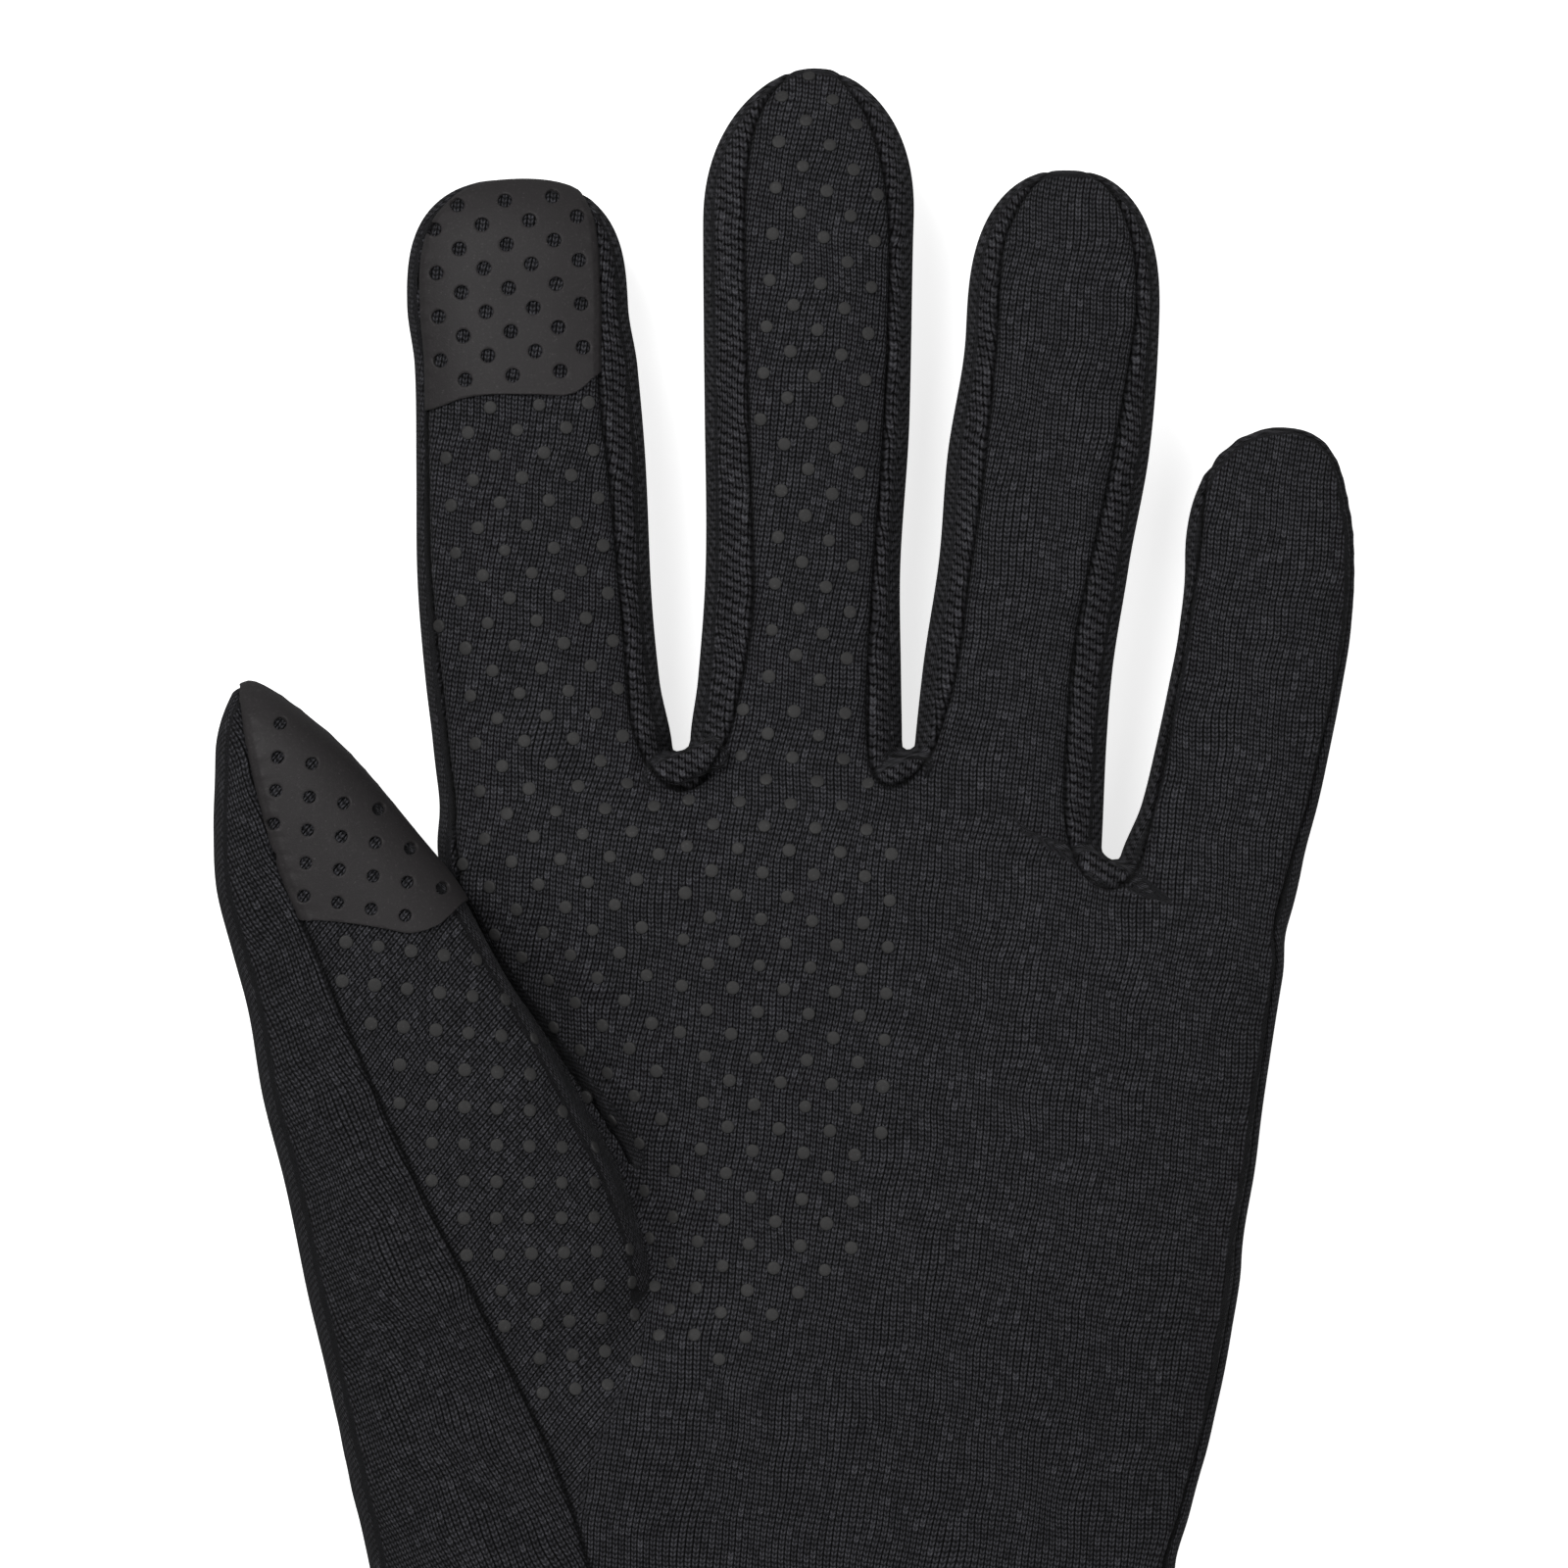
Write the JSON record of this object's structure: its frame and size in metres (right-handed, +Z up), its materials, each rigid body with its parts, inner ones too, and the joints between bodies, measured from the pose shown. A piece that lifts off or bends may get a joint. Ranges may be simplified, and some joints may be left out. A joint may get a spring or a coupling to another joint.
{
  "type": "touchscreen glove",
  "caption": "Knit left-hand touchscreen glove with jointed fingers and thumb, a hemmed cuff, silicone grip dots on the palm and conductive pads on the index finger and thumb tips",
  "frame": {"origin": "the middle of the glove's footprint, on the surface it lies on", "axes": "X from the thumb to the little finger, Y from the cuff to the fingertips, Z up out of the palm"},
  "size_m": [0.1342, 0.236, 0.0348],
  "materials": {
    "knit": "brushed stretch knit, charcoal black, matt",
    "side_knit": "the same knit cut on the bias, charcoal black, matt",
    "hem_knit": "double layer of the knit, charcoal black, matt",
    "thread": "polyester sewing thread, dark grey",
    "conductive_pad": "perforated conductive coating, dark grey, satin",
    "grip_silicone": "printed silicone dots, grey, slightly glossy"
  },
  "bodies": {
    "hand": {"palm_panel": "knit", "back_panel": "knit", "thumb_side_panel": "knit", "cuff_hem": "hem_knit", "hem_thread": "thread", "palm_dots": "grip_silicone", "fourchette_index_middle": "side_knit", "fourchette_middle_ring": "side_knit", "fourchette_ring_little": "side_knit"},
    "index_base": {"index_palm_base": "knit", "index_back_base": "knit", "index_fourchette_base": "side_knit", "index_base_dots": "grip_silicone"},
    "index_tip": {"index_palm_tip": "knit", "index_back_tip": "knit", "index_fourchette_tip": "side_knit", "index_touch_pad": "conductive_pad", "index_tip_dots": "grip_silicone"},
    "middle_base": {"middle_palm_base": "knit", "middle_back_base": "knit", "middle_left_fourchette_base": "side_knit", "middle_right_fourchette_base": "side_knit", "middle_base_dots": "grip_silicone"},
    "middle_tip": {"middle_palm_tip": "knit", "middle_back_tip": "knit", "middle_left_fourchette_tip": "side_knit", "middle_right_fourchette_tip": "side_knit", "middle_tip_dots": "grip_silicone"},
    "ring_base": {"ring_palm_base": "knit", "ring_back_base": "knit", "ring_left_fourchette_base": "side_knit", "ring_right_fourchette_base": "side_knit"},
    "ring_tip": {"ring_palm_tip": "knit", "ring_back_tip": "knit", "ring_left_fourchette_tip": "side_knit", "ring_right_fourchette_tip": "side_knit"},
    "little_base": {"little_palm_base": "knit", "little_back_base": "knit", "little_fourchette_base": "side_knit"},
    "little_tip": {"little_palm_tip": "knit", "little_back_tip": "knit", "little_fourchette_tip": "side_knit"},
    "thumb_base": {"thumb_palm_base": "knit", "thumb_back_base": "knit", "thumb_base_dots": "grip_silicone"},
    "thumb_tip": {"thumb_palm_tip": "knit", "thumb_back_tip": "knit", "thumb_touch_pad": "conductive_pad"}
  },
  "joints": [
    {"name": "index_knuckle", "type": "hinge", "parent": "hand", "child": "index_base", "pos_m": [-0.0286, 0.046, 0.0188], "axis": [1, 0, 0], "range_deg": [0, 75]},
    {"name": "index_bend", "type": "hinge", "parent": "index_base", "child": "index_tip", "pos_m": [-0.03, 0.071, 0.0184], "axis": [0.9925, 0.1219, 0], "range_deg": [0, 80]},
    {"name": "middle_knuckle", "type": "hinge", "parent": "hand", "child": "middle_base", "pos_m": [0.0014, 0.047, 0.0188], "axis": [1, 0, 0], "range_deg": [0, 80]},
    {"name": "middle_bend", "type": "hinge", "parent": "middle_base", "child": "middle_tip", "pos_m": [0.0024, 0.077, 0.0184], "axis": [1, 0, 0], "range_deg": [0, 90]},
    {"name": "ring_knuckle", "type": "hinge", "parent": "hand", "child": "ring_base", "pos_m": [0.0273, 0.047, 0.0186], "axis": [1, 0, 0], "range_deg": [0, 80]},
    {"name": "ring_bend", "type": "hinge", "parent": "ring_base", "child": "ring_tip", "pos_m": [0.0314, 0.075, 0.018], "axis": [1, 0, 0], "range_deg": [0, 90]},
    {"name": "little_knuckle", "type": "hinge", "parent": "hand", "child": "little_base", "pos_m": [0.0524, 0.0335, 0.0172], "axis": [1, 0, 0], "range_deg": [0, 80]},
    {"name": "little_bend", "type": "hinge", "parent": "little_base", "child": "little_tip", "pos_m": [0.0562, 0.053, 0.0164], "axis": [1, 0, 0], "range_deg": [0, 90]},
    {"name": "thumb_knuckle", "type": "hinge", "parent": "hand", "child": "thumb_base", "pos_m": [-0.0424, -0.005, 0.0307], "axis": [0.9703, 0.2419, 0], "range_deg": [0, 35]},
    {"name": "thumb_bend", "type": "hinge", "parent": "thumb_base", "child": "thumb_tip", "pos_m": [-0.053, 0.0205, 0.0341], "axis": [0.9781, 0.2079, 0], "range_deg": [0, 50]}
  ]
}
